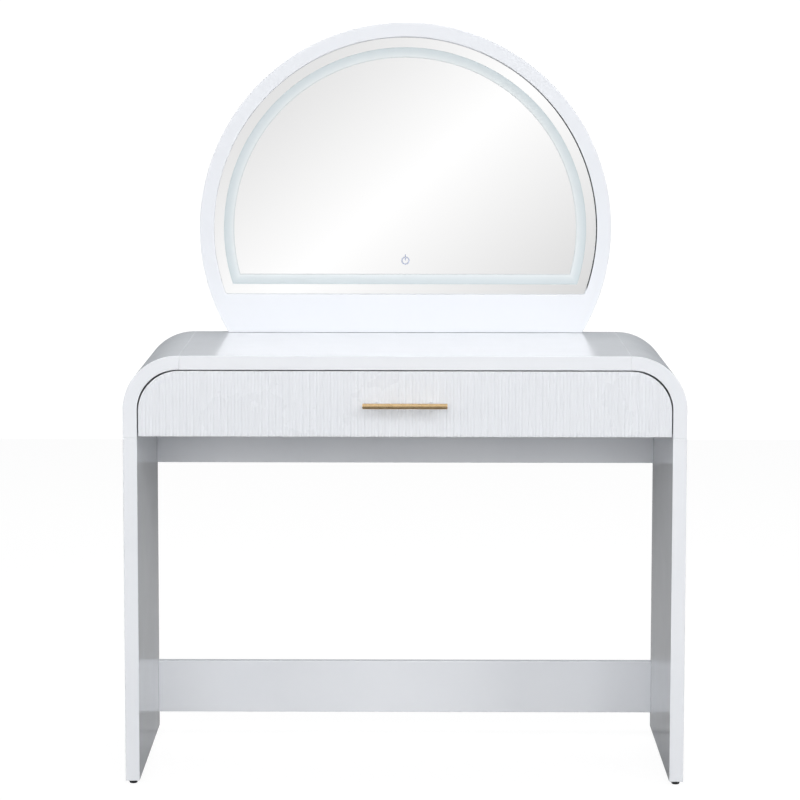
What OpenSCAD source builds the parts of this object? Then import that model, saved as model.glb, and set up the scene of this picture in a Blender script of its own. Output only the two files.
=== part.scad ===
// Vanity table with one drawer and a lit, half-round mirror standing on its back edge.
// Two side panels carry curved corner pieces and a flat top; the drawer runs on
// ball-bearing slides inside that arch. The origin is on the floor, under the middle of
// the whole object's box. X runs right, Y to the back, Z up, all in millimetres.

/* [Table] */
// Width over the two side panels
table_w = 1000; // [840:10:1300]
// Depth of the boards, front to back
table_d = 400; // [320:10:560]
// Height of the table top above the floor
table_h = 775; // [620:5:930]
// Thickness of the side panels, corner pieces and top
board_t = 25; // [20:1:30]
// Outer radius of the curved corners
corner_r = 100; // [80:5:130]
// Straight leg of a corner piece, below its bend
corner_leg = 47; // [44:1:70]
// Thickness of the back panel and the lower stretcher
back_t = 15; // [12:1:20]
// Height of the back panel, below the top
back_h = 226; // [180:2:300]
// Height of the lower stretcher
stretcher_h = 100; // [80:5:140]
// Lower edge of the stretcher above the side panels' bottom edge
stretcher_lift = 30; // [0:5:80]
// Height of the nailed floor glides
foot_h = 7; // [5:0.5:12]
// Radius of a floor glide
foot_r = 7.5; // [6:0.5:12]
// Distance from a side panel's front and back edges to the middle of a glide
foot_inset = 15; // [12:1:60]

/* [Drawer] */
// Gap between the drawer front and the arch around it
front_gap = 2.5; // [1.5:0.5:4]
// Lower edge of the drawer front above the seam of the side panel
front_lift = 3; // [1:0.5:6]
// Thickness of the drawer front behind its reeds
front_t = 15; // [12:1:20]
// How far the reeds stand out of the drawer front
reed_depth = 2.6; // [1:0.2:4]
// Width of one reed, before it is fitted to the drawer front
reed_pitch = 12.1; // [8:0.1:20]
// Thickness of the drawer's sides and back
box_t = 12; // [10:1:16]
// Thickness of the drawer bottom
bottom_t = 5; // [3:1:8]
// Depth of the grooves that hold the drawer bottom
groove_depth = 5; // [3:1:7]

/* [Slides] */
// The slides come in lengths that are multiples of this
slide_step = 50; // [25:25:50]
// Height of a slide
slide_h = 35; // [35:1:38]
// Room that a slide takes between the wall and the drawer
slide_t = 12.7; // [12.7:0.1:13.5]
// Sheet thickness of the rails
rail_t = 1.2; // [1:0.1:1.3]
// Radius of the slides' balls
ball_r = 1.5; // [1.3:0.1:1.6]

/* [Handle] */
// Length of the handle bar
bar_l = 150; // [110:5:400]
// Radius of the handle bar
bar_r = 5; // [4:0.5:8]
// Distance between the two posts
post_spacing = 96; // [64:32:320]
// Radius of a post
post_r = 4; // [3:0.5:5]
// How far the handle stands out of the drawer front
handle_out = 32; // [26:1:45]

/* [Mirror] */
// Outer radius of the mirror's frame
mirror_r = 390; // [300:2:420]
// How far below the circle's middle the frame is cut flat
mirror_drop = 196.5; // [150:0.5:230]
// Thickness of the mirror's frame
frame_t = 20; // [18:1:30]
// Width of the frame's face around the glass
frame_face = 26.5; // [20:0.5:50]
// Height of the frame's face below the glass
sill_h = 71.5; // [45:0.5:100]
// Thickness of the glass
glass_t = 4; // [3:1:5]
// Depth of the glass below the face of the frame
glass_inset = 1; // [0:0.5:2]
// Gap around the glass in its recess
glass_gap = 1.5; // [0.5:0.1:3]
// How far the glass sits to the left in its recess
glass_shift = 0.8; // [0:0.1:1.4]
// Distance from the edge of the glass to the frosted band
band_inset = 18.5; // [12:0.5:30]
// Width of the frosted band
band_w = 19.5; // [10:0.5:30]
// Thickness of the pads that the mirror stands on
pad_t = 1; // [0.5:0.5:5]
// Distance from the circle's middle down to the touch switch
touch_drop = 60; // [40:1:80]
// Thickness of the two steel plates that tie the mirror to the table
plate_t = 2; // [1.5:0.5:3]

/* [Hidden] */
$fn = 64;

white = [0.91, 0.92, 0.94];
steel = [0.72, 0.73, 0.75];
zinc = [0.62, 0.63, 0.65];
beech = [0.80, 0.66, 0.48];
black = [0.06, 0.06, 0.07];
gold = [0.80, 0.63, 0.40];
nickel = [0.80, 0.80, 0.79];
frosted = [0.84, 0.89, 0.90];

// clearances
fit = 0.1;          // round pieces in their holes
board_gap = 0.2;    // boards that fit between boards
slide_gap = 0.3;    // between the members of a slide
eps = 0.01;         // how far a cut runs past a face

// the table's planes
head_h = 1.5;                                   // heads of the plate screws
front_y = (handle_out - plate_t - head_h - table_d) / 2;
back_y = front_y + table_d;
in_x = table_w / 2 - board_t;                   // inner face of a side panel
bend_x = table_w / 2 - corner_r;                // middle of a corner's bend, and its top seam
under_z = table_h - board_t;                    // underside of the top
bend_z = table_h - corner_r;
seam_z = bend_z - corner_leg;                   // seam of side panel and corner piece
bend_in = corner_r - board_t;                   // inner radius of a bend

// fittings that join the boards
dowel_r = 4;
dowel_l = 40;
cam_r = 6;
cam_reach = 24;                                 // from a board's end to the middle of a cam
cam_floor = 4;                                  // how deep a cam goes past its bolt's axis
cap_t = 1;
bolt_r = 3;
bolt_in = 11;                                   // how far a bolt goes into the next board
end_cam_y = 48;                                 // cams and dowels of the seams, from the edges
seam_cams = [front_y + end_cam_y, back_y - end_cam_y];
seam_dowels = [front_y + end_cam_y + 32, (front_y + back_y) / 2, back_y - end_cam_y - 32];
stretcher_z = foot_h + stretcher_lift;
stretcher_cams = [stretcher_z + stretcher_h / 4, stretcher_z + stretcher_h * 3 / 4];
back_cams = [under_z - back_h + 30, seam_z + corner_leg / 2];
nail_r = 1.2;
nail_l = 18;

// drawer
front_y1 = front_y + reed_depth;                // face of the board behind the reeds
box_y = front_y1 + front_t;                     // rear face of the drawer front
front_x = in_x - front_gap;
front_z0 = seam_z + front_lift;
front_z1 = under_z - front_gap;
front_bend = bend_in - front_gap;
rail_start = 3;                                 // from the drawer front to the rails
rail_room = 40;                                 // kept free behind the rails
rail_y = box_y + rail_start;
// length of the slides, and how far the drawer opens
slide_l = slide_step * floor((back_y - back_t - rail_room - rail_y) / slide_step);
rail_z = seam_z + corner_leg / 2 - 0.5;         // middle height of the slides
box_x = in_x - slide_t;                         // outer face of the drawer's sides
box_l = slide_l + rail_start + 2;
box_z0 = front_z0 + 6;
box_air = 3;                                    // between the drawer's sides and the bend
box_z1 = bend_z + sqrt(pow(bend_in, 2) - pow(box_x - bend_x, 2)) - box_air;
bottom_z = box_z0 + 8;
reeds = round(2 * front_x / reed_pitch);
reed_w = 2 * front_x / reeds;
reed_steps = 6;                                 // straight steps across one reed
drawer_cam_z = [box_z0 + 25, box_z1 - 14];

// slide members: u is the distance from the wall, v the height from the rail's middle
screw_head = 0.8;
cage_t = 0.5;
outer_v = slide_h / 2 - rail_t;                 // inside of the cabinet rail's flange
outer_ball_v = outer_v - slide_gap - ball_r;
middle_v = outer_ball_v - ball_r - slide_gap;   // outside of the middle rail
inner_ball_v = middle_v - rail_t - slide_gap - ball_r;
inner_v = inner_ball_v - ball_r - slide_gap;    // outside of the drawer rail
outer_cage_u = rail_t + screw_head + slide_gap;
middle_u = outer_cage_u + cage_t + slide_gap;
inner_cage_u = middle_u + rail_t + slide_gap;
inner_u = inner_cage_u + cage_t + slide_gap;
ball_u = (middle_u + slide_t) / 2 - 0.6;
cage_end = 4;                                   // a cage's ends stay this far inside the rails
cage_l = slide_l / 2 - 2 * cage_end;
cage_y = rail_y + slide_l / 4 + cage_end;
ball_step = 20;
screw_inset = 35;
rail_screws = [screw_inset, slide_l / 2, slide_l - screw_inset];
screw_r = 1.7;
screw_head_r = 3.2;
drawer_screw_in = box_t - groove_depth - 1;     // stays out of the bottom's groove

// handle
bar_y = front_y - handle_out + bar_r;
handle_z = (front_z0 + front_z1) / 2;
handle_screw_r = 2;
handle_screw_in = 12;                           // thread inside a post

// mirror: local x right, y up from the circle's middle, z from the frame's face to its back
mirror_z = table_h + pad_t + mirror_drop;
mirror_y = back_y - frame_t;                    // face of the frame
recess_r = mirror_r - frame_face;
recess_drop = mirror_drop - sill_h;
glass_r = recess_r - glass_gap;
glass_drop = recess_drop - glass_gap;
glass_corner = 5;
tape_t = 0.5;
recess_t = glass_inset + glass_t + tape_t;
ledge = 14;                                     // step that the glass is taped to
window_r = recess_r - ledge;
window_drop = recess_drop - ledge;
cover_t = 3;
cover_lap = 9;                                  // how far the back cover laps the frame
band_r = glass_r - band_inset;
band_drop = glass_drop - band_inset;
diffuser_t = 2.5;
strip_t = 0.6;
strip_w = 8;
chip_t = 1.4;
chip_step = 40;
parts_y = -touch_drop;                          // height of the switch, module and inlet
module_x = 70;
inlet_x = 150;
module_size = [60, 22, 7];
sensor_size = [26, 26, 1.6];
inlet_r = 5.5;
inlet_nose_r = 4;
jack_r = 2.8;                                   // bore that takes the plug
jack_pin_r = 1.05;
jack_l = 9;
wire_r = 0.9;
plate_w = 30;
plate_x = 220;
plate_low = 46;                                 // how far a plate reaches below the table top
plate_high = 52;                                // and above it
plate_holes = [-34, -12, 17, 40];               // heights of its screws from the table top
plate_screw_in = 12;
pad_size = [40, 12];
pad_x = mirror_r * 0.72;

// shapes used by many pieces
module block(low, high) translate(low) cube(high - low);
module on_left() mirror([1, 0, 0]) children();
module both_sides() for (side = [0, 1]) mirror([side, 0, 0]) children();
module rod_x(r, l) rotate([0, 90, 0]) cylinder(r = r, h = l);
module rod_y(r, l) rotate([-90, 0, 0]) cylinder(r = r, h = l);

// a plan in x and z, carried from y0 to y1
module carry_y(y0, y1) translate([0, y1, 0]) rotate([90, 0, 0]) linear_extrude(y1 - y0) children();

// an arch-shaped board: half width, bottom, top and the radius of its upper corners
module arch(half_w, z0, z1, r) {
    translate([-half_w, z0]) square([2 * half_w, z1 - r - z0]);
    translate([-half_w + r, z0]) square([2 * (half_w - r), z1 - z0]);
    for (side = [-1, 1]) translate([side * (half_w - r), z1 - r]) circle(r = r, $fn = 96);
}

// a circle cut flat below its middle, with its two corners rounded
module cut_circle(r, drop, corner = 0) {
    mid_x = sqrt(pow(r - corner, 2) - pow(drop - corner, 2));
    mid_y = corner - drop;
    past = 1.02 * r / (r - corner);             // runs on just past the circle
    difference() {
        circle(r = r, $fn = 180);
        translate([-r - 1, -r - 1]) square([2 * r + 2, r + 1 - drop]);
        if (corner > 0) for (side = [-1, 1])
            polygon([[side * mid_x, mid_y], [side * mid_x, -drop - 1],
                     [side * 1.1 * r, -drop - 1], [side * 1.1 * r, mid_y * past],
                     [side * mid_x * past, mid_y * past]]);
    }
    if (corner > 0) for (side = [-1, 1])
        translate([side * mid_x, mid_y]) circle(r = corner, $fn = 48);
}

// a flat band that follows the edge of a cut circle, inside it
module cut_band(r, drop, w) difference() {
    cut_circle(r, drop);
    cut_circle(r - w, drop - w);
}

// puts mirror pieces, drawn from the frame's face to its back, where the mirror stands
module at_mirror(from = 0) translate([0, mirror_y + from, mirror_z])
    mirror([0, 1, 0]) rotate([90, 0, 0]) children();

// cam fittings: the bolt runs along local +X, the cam's mouth faces local +Z,
// $board is the thickness of the board that holds the cam
module table_cams() both_sides() {
    for (y = seam_cams) {
        $board = board_t;
        translate([bend_x - cam_reach, y, table_h - board_t / 2]) rotate([180, 0, 0]) children();
        translate([in_x + board_t / 2, y, seam_z + cam_reach])
            mirror([1, 0, 0]) rotate([0, 90, 0]) children();
    }
    for (z = concat(stretcher_cams, back_cams)) {
        $board = back_t;
        translate([in_x - cam_reach, back_y - back_t / 2, z]) rotate([-90, 0, 0]) children();
    }
}
module drawer_cams() both_sides() for (z = drawer_cam_z) {
    $board = box_t;
    translate([box_x - box_t / 2, box_y + cam_reach, z])
        rotate([0, 0, -90]) rotate([-90, 0, 0]) children();
}
module cam_lock() difference() {
    translate([0, 0, fit - min(cam_floor, $board / 3)])
        cylinder(r = cam_r - fit, h = min(cam_floor, $board / 3) - fit + $board / 2 - cap_t);
    rod_x(bolt_r + 2 * fit, cam_r + 1);
    translate([-cam_r, -0.6, $board / 2 - cap_t - 1.2]) cube([2 * cam_r, 1.2, 2]);
}
module cam_cap() translate([0, 0, $board / 2 - cap_t + fit / 2])
    cylinder(r = cam_r - fit, h = cap_t - fit / 2);
module cam_bolt() translate([1, 0, 0]) rod_x(bolt_r, cam_reach + bolt_in - 1);
module cam_cut() {
    translate([0, 0, -min(cam_floor, $board / 3)])
        cylinder(r = cam_r, h = min(cam_floor, $board / 3) + $board / 2 + eps);
    rod_x(bolt_r + fit, cam_reach + bolt_in + fit);
}

// wooden dowels across the seams
module side_dowels(extra = 0) both_sides() for (y = seam_dowels)
    translate([in_x + board_t / 2, y, seam_z - dowel_l / 2 - extra])
        cylinder(r = dowel_r + extra, h = dowel_l + 2 * extra);
module seam_top_dowels(extra = 0) both_sides() for (y = seam_dowels)
    translate([bend_x - dowel_l / 2 - extra, y, table_h - board_t / 2])
        rod_x(dowel_r + extra, dowel_l + 2 * extra);

// glides and their nails
module each_foot() both_sides() for (y = [front_y + foot_inset, back_y - foot_inset])
    translate([in_x + board_t / 2, y, 0]) children();
module foot(front, left) {
    y = front ? front_y + foot_inset : back_y - foot_inset;
    side = left ? -1 : 1;
    rim = 1.5;
    color(black) translate([side * (in_x + board_t / 2), y, 0]) difference() {
        rotate_extrude($fn = 64) polygon(concat([[0, 0]],
            [for (a = [0:15:90]) [foot_r - rim + rim * sin(a), rim - rim * cos(a)]],
            [[foot_r, foot_h], [0, foot_h]]));
        translate([0, 0, 1]) cylinder(r = nail_r + fit, h = foot_h);
        translate([0, 0, 1]) cylinder(r = 3 * nail_r + fit, h = 1 + fit);
    }
}
module foot_nails() color(steel) each_foot() {
    translate([0, 0, 1 + fit]) cylinder(r = 3 * nail_r, h = 1 - fit);
    translate([0, 0, 1 + fit]) cylinder(r = nail_r, h = nail_l);
}

// boards
module side_panel() color(white) difference() {
    block([in_x, front_y, foot_h], [table_w / 2, back_y, seam_z]);
    side_dowels(fit);
    table_cams() cam_cut();
    each_foot() cylinder(r = nail_r + fit, h = nail_l + 2);
}
module corner_panel() color(white) difference() {
    carry_y(front_y, back_y) {
        intersection() {
            translate([bend_x, bend_z]) difference() {
                circle(r = corner_r, $fn = 128);
                circle(r = bend_in, $fn = 128);
            }
            translate([bend_x, bend_z]) square(corner_r + 1);
        }
        translate([in_x, seam_z]) square([board_t, corner_leg]);
    }
    side_dowels(fit);
    seam_top_dowels(fit);
    table_cams() cam_cut();
    cabinet_screws(fit);
}
module top_panel() color(white) difference() {
    block([-bend_x, front_y, under_z], [bend_x, back_y, table_h]);
    seam_top_dowels(fit);
    table_cams() cam_cut();
    plate_screws(fit);
}
module back_panel() color(white) difference() {
    carry_y(back_y - back_t, back_y)
        arch(in_x - board_gap / 2, under_z - back_h, under_z - board_gap / 2, bend_in - board_gap);
    table_cams() cam_cut();
    plate_screws(fit);
}
module lower_stretcher() color(white) difference() {
    block([board_gap / 2 - in_x, back_y - back_t, stretcher_z],
          [in_x - board_gap / 2, back_y, stretcher_z + stretcher_h]);
    table_cams() cam_cut();
}
module corner_dowels() color(beech) side_dowels();
module top_dowels() color(beech) seam_top_dowels();
module cam_locks() color(zinc) table_cams() cam_lock();
module cam_bolts() color(steel) table_cams() cam_bolt();
module cam_caps() color(white) table_cams() cam_cap();

// slides, drawn for the right side: u runs from the wall to the drawer
module slide_length(y, l) translate([in_x, y, rail_z]) mirror([1, 0, 0])
    translate([0, l, 0]) rotate([90, 0, 0]) linear_extrude(l) children();
module channel(u0, u1, v, t, web_first) difference() {
    translate([u0, -v]) square([u1 - u0, 2 * v]);
    translate([web_first ? u0 + t : u0 - t, t - v]) square([u1 - u0, 2 * (v - t)]);
}
module rail_holes(u, l) for (y = rail_screws)
    translate([in_x - u - 1, rail_y + y, rail_z]) rod_x(screw_r + fit, l + 2);
module cabinet_rail() color(steel) difference() {
    slide_length(rail_y, slide_l) channel(0, slide_t - 2.2, slide_h / 2, rail_t, true);
    rail_holes(rail_t, rail_t);
}
module middle_rail() color(steel)
    slide_length(rail_y, slide_l) channel(middle_u, slide_t - 1.7, middle_v, rail_t, true);
module drawer_rail() color(steel) difference() {
    slide_length(rail_y, slide_l) channel(inner_u, slide_t, inner_v, rail_t, false);
    rail_holes(slide_t, rail_t);
}
module ball_cage(u, v) color(zinc) {
    slide_length(cage_y, cage_l) channel(u, ball_u + ball_r + 0.6, v + cage_t / 2, cage_t, true);
    for (y = [ball_step / 2:ball_step:cage_l - ball_step / 2], side = [-1, 1])
        translate([in_x - ball_u, cage_y + y, rail_z + side * v]) sphere(r = ball_r, $fn = 32);
}
module outer_ball_cage() ball_cage(outer_cage_u, outer_ball_v);
module inner_ball_cage() ball_cage(inner_cage_u, inner_ball_v);
module cabinet_screws(extra = 0) both_sides() for (y = rail_screws)
    translate([in_x - rail_t - screw_head, rail_y + y, rail_z]) {
        if (extra == 0) rod_x(screw_head_r, screw_head);
        rod_x(screw_r + extra, 14 + extra);
    }
module drawer_screws(extra = 0) both_sides() for (y = rail_screws)
    translate([box_x - drawer_screw_in - extra, rail_y + y, rail_z]) {
        rod_x(screw_r + extra, drawer_screw_in + rail_t + screw_head + extra);
        if (extra == 0) translate([drawer_screw_in + rail_t, 0, 0]) rod_x(screw_head_r, screw_head);
    }

// drawer
module drawer_front() color(white) difference() {
    intersection() {
        carry_y(front_y, box_y) arch(front_x, front_z0, front_z1, front_bend);
        translate([0, 0, front_z0]) linear_extrude(front_z1 - front_z0)
            polygon(concat([[front_x, box_y + 1], [-front_x, box_y + 1]],
                [for (i = [0:reeds * reed_steps])
                    let (t = 2 * (i % reed_steps) / reed_steps - 1)
                    [i * reed_w / reed_steps - front_x, front_y1 - reed_depth * (1 - t * t)]]));
    }
    translate([0, 0, bottom_z - board_gap / 2]) block(
        [-box_x + box_t - groove_depth, box_y - groove_depth, 0],
        [box_x - box_t + groove_depth, box_y + 1, bottom_t + board_gap]);
    drawer_cams() cam_cut();
    handle_bolts(fit);
}
module bottom_groove() block(
    [-box_x + box_t - groove_depth, box_y - 1, bottom_z - board_gap / 2],
    [box_x - box_t + groove_depth, box_y + box_l + 1, bottom_z + bottom_t + board_gap / 2]);
module drawer_side() color(white) difference() {
    block([box_x - box_t, box_y, box_z0], [box_x, box_y + box_l, box_z1]);
    bottom_groove();
    drawer_cams() cam_cut();
    drawer_screws(fit);
    back_screws(fit);
}
module drawer_back() color(white) difference() {
    block([box_t + board_gap / 2 - box_x, box_y + box_l - box_t, box_z0],
          [box_x - box_t - board_gap / 2, box_y + box_l, box_z1]);
    translate([0, -box_t + groove_depth, 0]) bottom_groove();
    back_screws(fit);
}
module drawer_bottom() color(white) block(
    [-box_x + box_t - groove_depth + board_gap, box_y - groove_depth + board_gap, bottom_z],
    [box_x - box_t + groove_depth - board_gap, box_y + box_l - box_t + groove_depth - 1,
     bottom_z + bottom_t]);
module drawer_cam_locks() color(zinc) drawer_cams() cam_lock();
module drawer_cam_bolts() color(steel) drawer_cams() cam_bolt();
module back_screws(extra = 0) both_sides() for (z = [box_z0 + 24, box_z1 - 12])
    translate([box_x - 32, box_y + box_l - box_t / 2, z]) {
        rod_x(screw_r + extra, 32 + extra);
        translate([32 - 1.6 - extra, 0, 0]) rod_x(screw_head_r + extra, 1.6 + 2 * extra);
    }
module drawer_back_screws() color(steel) intersection() {
    back_screws();
    block([-box_x, box_y, box_z0], [box_x, box_y + box_l, box_z1]);
}

// handle
module handle_bar() color(gold) translate([-bar_l / 2, bar_y, handle_z]) rotate([0, 90, 0])
    rotate_extrude($fn = 64) polygon([[0, 0], [bar_r - 0.6, 0], [bar_r, 0.6],
        [bar_r, bar_l - 0.6], [bar_r - 0.6, bar_l], [0, bar_l]]);
module handle_posts() color(nickel) difference() {
    for (side = [-1, 1]) translate([side * post_spacing / 2, bar_y, handle_z])
        rod_y(post_r, front_y - bar_y);
    translate([-bar_l / 2, bar_y, handle_z]) rod_x(bar_r, bar_l);
    handle_bolts(fit);
}
module handle_bolts(extra = 0) for (side = [-1, 1])
    translate([side * post_spacing / 2, front_y - handle_screw_in - extra, handle_z])
        rod_y(handle_screw_r + extra, box_y - front_y + handle_screw_in + 2 * extra);
module handle_screws() color(steel) {
    handle_bolts();
    for (side = [-1, 1]) translate([side * post_spacing / 2, box_y, handle_z]) rod_y(4, 2.4);
}

// mirror
module mirror_frame() color(white) difference() {
    at_mirror() difference() {
        linear_extrude(frame_t) cut_circle(mirror_r, mirror_drop);
        translate([0, 0, -1]) linear_extrude(frame_t + 2) cut_circle(window_r, window_drop);
        translate([0, 0, -1]) linear_extrude(recess_t + 1)
            cut_circle(recess_r, recess_drop, glass_corner + glass_gap);
        translate([0, 0, frame_t - cover_t]) linear_extrude(cover_t + 1)
            cut_circle(window_r + cover_lap, window_drop + cover_lap);
    }
    plate_screws(fit);
    cover_fixings(fit);
}
module mirror_glass() color(frosted) at_mirror(glass_inset) translate([-glass_shift, 0, 0])
    linear_extrude(glass_t) cut_circle(glass_r, glass_drop, glass_corner);
module glass_tape() color(black) at_mirror(glass_inset + glass_t) linear_extrude(tape_t)
    cut_band(recess_r - 3, recess_drop - 3, ledge - 5);
module light_diffuser() color(frosted) at_mirror(recess_t)
    translate([-glass_shift, 0, 0]) linear_extrude(diffuser_t)
        cut_band(min(band_r + 1, window_r - 2), min(band_drop + 1, window_drop - 2), band_w + 2);
module led_strip() color([0.9, 0.85, 0.6]) at_mirror(frame_t - cover_t - strip_t)
    linear_extrude(strip_t)
        cut_band(band_r - (band_w - strip_w) / 2, band_drop - (band_w - strip_w) / 2, strip_w);
module led_chips() color([0.95, 0.92, 0.75]) at_mirror(frame_t - cover_t - strip_t - chip_t) {
    r = band_r - band_w / 2;
    drop = band_drop - band_w / 2;
    reach = asin(drop / r);
    count = floor((180 + 2 * reach) * PI / 180 * r / chip_step);
    for (i = [1:count - 1]) rotate(-reach + i * (180 + 2 * reach) / count)
        translate([r, 0, chip_t / 2]) cube([5, 5, chip_t], center = true);
    half = r * cos(reach);
    row = floor(2 * half / chip_step);
    for (i = [1:row - 1]) translate([-half + i * 2 * half / row, -drop, chip_t / 2])
        cube([5, 5, chip_t], center = true);
}
module touch_sensor() color([0.10, 0.30, 0.20]) at_mirror(recess_t)
    translate([0, parts_y, sensor_size[2] / 2]) cube(sensor_size, center = true);
module power_module() color(black) at_mirror(frame_t - cover_t - module_size[2])
    translate([module_x, parts_y, module_size[2] / 2]) cube(module_size, center = true);
module wire_y_level() at_mirror(frame_t - cover_t - wire_r - 0.5) children();
module mirror_wires() color([0.75, 0.10, 0.10]) wire_y_level() {
    left = module_x - module_size[0] / 2;
    right = module_x + module_size[0] / 2;
    strip_y = -(band_drop - band_w / 2) + strip_w / 2 + 1;
    translate([right, parts_y, 0]) rod_x(wire_r, inlet_x - inlet_r - right);
    translate([sensor_size[0] / 2 + 8, parts_y, 0])
        rod_x(wire_r, left - sensor_size[0] / 2 - 8);
    translate([sensor_size[0] / 2 + 8, parts_y, 0]) sphere(r = wire_r, $fn = 32);
    translate([sensor_size[0] / 2 + 8, parts_y, recess_t - frame_t + cover_t + wire_r + 1.5])
        cylinder(r = wire_r, h = frame_t - cover_t - recess_t - wire_r - 1.5);
    translate([left + 10, strip_y, 0])
        rotate([-90, 0, 0]) cylinder(r = wire_r, h = parts_y - module_size[1] / 2 - strip_y);
}
module dc_inlet() color(black) at_mirror(frame_t - jack_l - 2)
    translate([inlet_x, parts_y, 0]) {
        difference() {
            union() {
                cylinder(r = inlet_r, h = jack_l + 2 - cover_t - fit);
                cylinder(r = inlet_nose_r, h = jack_l + 2);
            }
            translate([0, 0, 2]) cylinder(r = jack_r, h = jack_l + 1);
        }
        translate([0, 0, 1]) cylinder(r = jack_pin_r, h = jack_l - 1);
    }
module mirror_back_cover() color([0.55, 0.55, 0.56]) difference() {
    at_mirror(frame_t - cover_t) linear_extrude(cover_t)
        cut_circle(window_r + cover_lap - 2 * board_gap, window_drop + cover_lap - 2 * board_gap);
    at_mirror(frame_t - cover_t - 1) translate([inlet_x, parts_y, 0])
        cylinder(r = inlet_nose_r + fit, h = cover_t + 2);
    cover_fixings(fit);
}
// screws around the back cover's edge, each through the lap into the frame
module cover_fixings(extra = 0) {
    r = window_r + cover_lap / 2;
    drop = window_drop + cover_lap / 2;
    for (a = [-10:25:190]) at_mirror(recess_t + 2)
        rotate(a) translate([r, 0, 0]) cover_screw(extra);
    for (x = [-200, 0, 200]) at_mirror(recess_t + 2)
        translate([x, -drop, 0]) cover_screw(extra);
}
module cover_screw(extra) {
    l = frame_t - recess_t - 2;
    translate([0, 0, -extra]) cylinder(r = 1.25 + extra, h = l + extra);
    translate([0, 0, l - 1.2 - extra]) cylinder(r = 2.5 + extra, h = 1.2 + 2 * extra);
}
module cover_screws() color(steel) cover_fixings();
module mirror_pads() color(black) for (x = [-pad_x, 0, pad_x])
    block([x - pad_size[0] / 2, mirror_y + (frame_t - pad_size[1]) / 2, table_h],
          [x + pad_size[0] / 2, mirror_y + (frame_t + pad_size[1]) / 2, table_h + pad_t]);
module mirror_plate() color(steel) difference() {
    block([plate_x - plate_w / 2, back_y, table_h - plate_low],
          [plate_x + plate_w / 2, back_y + plate_t, table_h + plate_high]);
    plate_screws(fit);
}
module plate_screws(extra = 0) both_sides() for (z = plate_holes)
    translate([plate_x, back_y - plate_screw_in - extra, table_h + z]) {
        rod_y(screw_r + extra, plate_screw_in + plate_t + head_h + extra);
        if (extra == 0) translate([0, plate_screw_in + plate_t, 0]) rod_y(screw_head_r, head_h);
    }

on_left() side_panel();  // left_side_panel
side_panel();  // right_side_panel
on_left() corner_panel();  // left_corner_panel
corner_panel();  // right_corner_panel
top_panel();
back_panel();
lower_stretcher();
corner_dowels();
top_dowels();
cam_locks();
cam_bolts();
cam_caps();
foot(true, true);  // front_left_foot
foot(true, false);  // front_right_foot
foot(false, true);  // back_left_foot
foot(false, false);  // back_right_foot
foot_nails();
on_left() cabinet_rail();  // left_cabinet_rail
cabinet_rail();  // right_cabinet_rail
on_left() outer_ball_cage();  // left_outer_ball_cage
outer_ball_cage();  // right_outer_ball_cage
on_left() middle_rail();  // left_middle_rail
middle_rail();  // right_middle_rail
on_left() inner_ball_cage();  // left_inner_ball_cage
inner_ball_cage();  // right_inner_ball_cage
on_left() drawer_rail();  // left_drawer_rail
drawer_rail();  // right_drawer_rail
color(steel) cabinet_screws();  // cabinet_rail_screws
color(steel) drawer_screws();  // drawer_rail_screws
drawer_front();
on_left() drawer_side();  // left_drawer_side
drawer_side();  // right_drawer_side
drawer_back();
drawer_bottom();
drawer_cam_locks();
drawer_cam_bolts();
drawer_back_screws();
handle_bar();
handle_posts();
handle_screws();
mirror_frame();
mirror_glass();
glass_tape();
light_diffuser();
led_strip();
led_chips();
touch_sensor();
power_module();
mirror_wires();
dc_inlet();
mirror_back_cover();
cover_screws();
mirror_pads();
on_left() mirror_plate();  // left_mirror_plate
mirror_plate();  // right_mirror_plate
color(steel) plate_screws();
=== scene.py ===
import math
import bpy
import numpy as np
from mathutils import Matrix, Vector


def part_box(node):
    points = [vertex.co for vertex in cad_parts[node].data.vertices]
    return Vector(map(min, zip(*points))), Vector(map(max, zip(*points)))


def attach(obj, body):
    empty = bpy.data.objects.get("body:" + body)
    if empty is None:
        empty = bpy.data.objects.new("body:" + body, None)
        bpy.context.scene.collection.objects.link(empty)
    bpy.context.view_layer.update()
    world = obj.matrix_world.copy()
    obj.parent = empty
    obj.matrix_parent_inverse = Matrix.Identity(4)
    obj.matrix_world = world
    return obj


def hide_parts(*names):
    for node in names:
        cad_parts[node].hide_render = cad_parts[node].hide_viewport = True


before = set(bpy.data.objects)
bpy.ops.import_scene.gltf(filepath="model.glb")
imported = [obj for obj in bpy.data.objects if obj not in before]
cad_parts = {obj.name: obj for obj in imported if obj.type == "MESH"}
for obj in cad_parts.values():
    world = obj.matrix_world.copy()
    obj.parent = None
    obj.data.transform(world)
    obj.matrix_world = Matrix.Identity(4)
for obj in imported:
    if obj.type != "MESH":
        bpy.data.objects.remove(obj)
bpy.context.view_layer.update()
print("frame loaded:", len(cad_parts), "nodes")


# every shape is (points, faces, wear), in metres
boxAxes = {"x": (2, 0, 1), "y": (0, 2, 1), "z": (0, 1, 2)}  # outline p, q and way h, to x, y, z


def gridFaces(rows, columns, wrap=False):
    # point (r, c) of a grid is number r * columns + c; every cell between four of them is a face
    r, c = np.meshgrid(np.arange(rows if wrap else rows - 1), np.arange(columns), indexing="ij")
    nextR, nextC = (r + 1) % rows, (c + 1) % columns
    corners = [r * columns + c, r * columns + nextC, nextR * columns + nextC, nextR * columns + c]
    return np.stack(corners, -1).reshape(-1, 4).tolist()


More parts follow.
